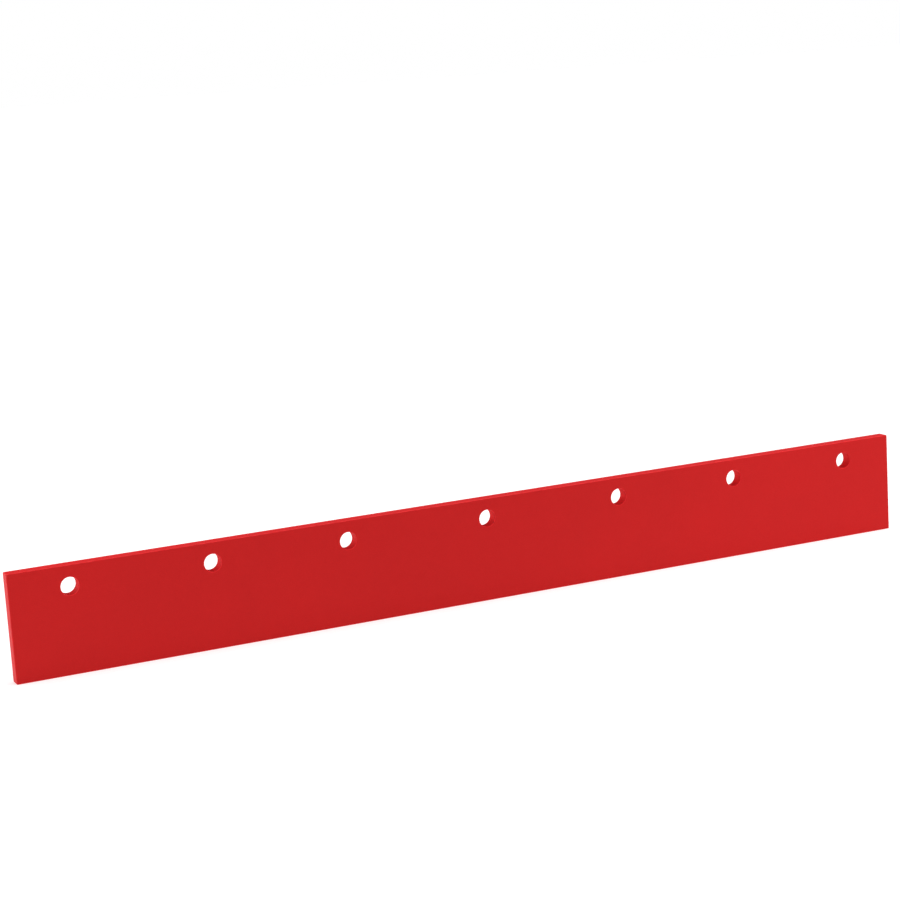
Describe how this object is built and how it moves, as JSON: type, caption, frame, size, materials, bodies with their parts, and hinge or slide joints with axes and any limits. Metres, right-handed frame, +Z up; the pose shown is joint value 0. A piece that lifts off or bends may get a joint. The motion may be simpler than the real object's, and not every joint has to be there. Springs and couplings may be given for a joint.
{
  "type": "snow plow cutting edge bar",
  "caption": "Flat rectangular cutting edge bar for a small ATV snow plow: a solid red polymer slab with a row of round bolt holes along its upper edge.",
  "frame": {"origin": "on the lower long edge, midway along the bar and midway through its thickness", "axes": "+X along the bar, +Y out of the back face that lies on the mouldboard, +Z up from the scraping edge to the bolt row"},
  "size_m": [1.0668, 0.014, 0.1143],
  "materials": {
    "red_polymer": "satin solid red cast polymer, likely polyurethane, coloured right through"
  },
  "bodies": {
    "root": {"cutting_edge_bar": "red_polymer"}
  },
  "joints": []
}
